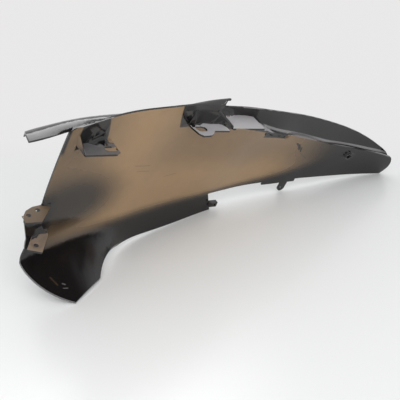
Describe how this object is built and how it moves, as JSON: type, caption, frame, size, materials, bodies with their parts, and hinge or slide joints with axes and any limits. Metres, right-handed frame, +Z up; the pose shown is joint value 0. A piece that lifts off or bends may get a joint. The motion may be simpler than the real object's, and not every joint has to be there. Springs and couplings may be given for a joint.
{
  "type": "scooter rear side panel",
  "caption": "Right rear body side panel of a scooter: thin moulded shell with a swept tail fin, shoulder hood, folded lower flange and fixing tabs on its inner face.",
  "frame": {"origin": "on the table, under the middle of the panel's bounding box, with the panel standing by itself as in the picture", "axes": "+X towards the panel's rear end, +Y outboard, to the side away from the scooter's middle, +Z up from the table"},
  "size_m": [0.6998, 0.1218, 0.2374],
  "materials": {
    "panel_plastic": "moulded gloss black, with a bronze spray mist over the inner face"
  },
  "bodies": {
    "root": {"side_panel": "panel_plastic"}
  },
  "joints": []
}
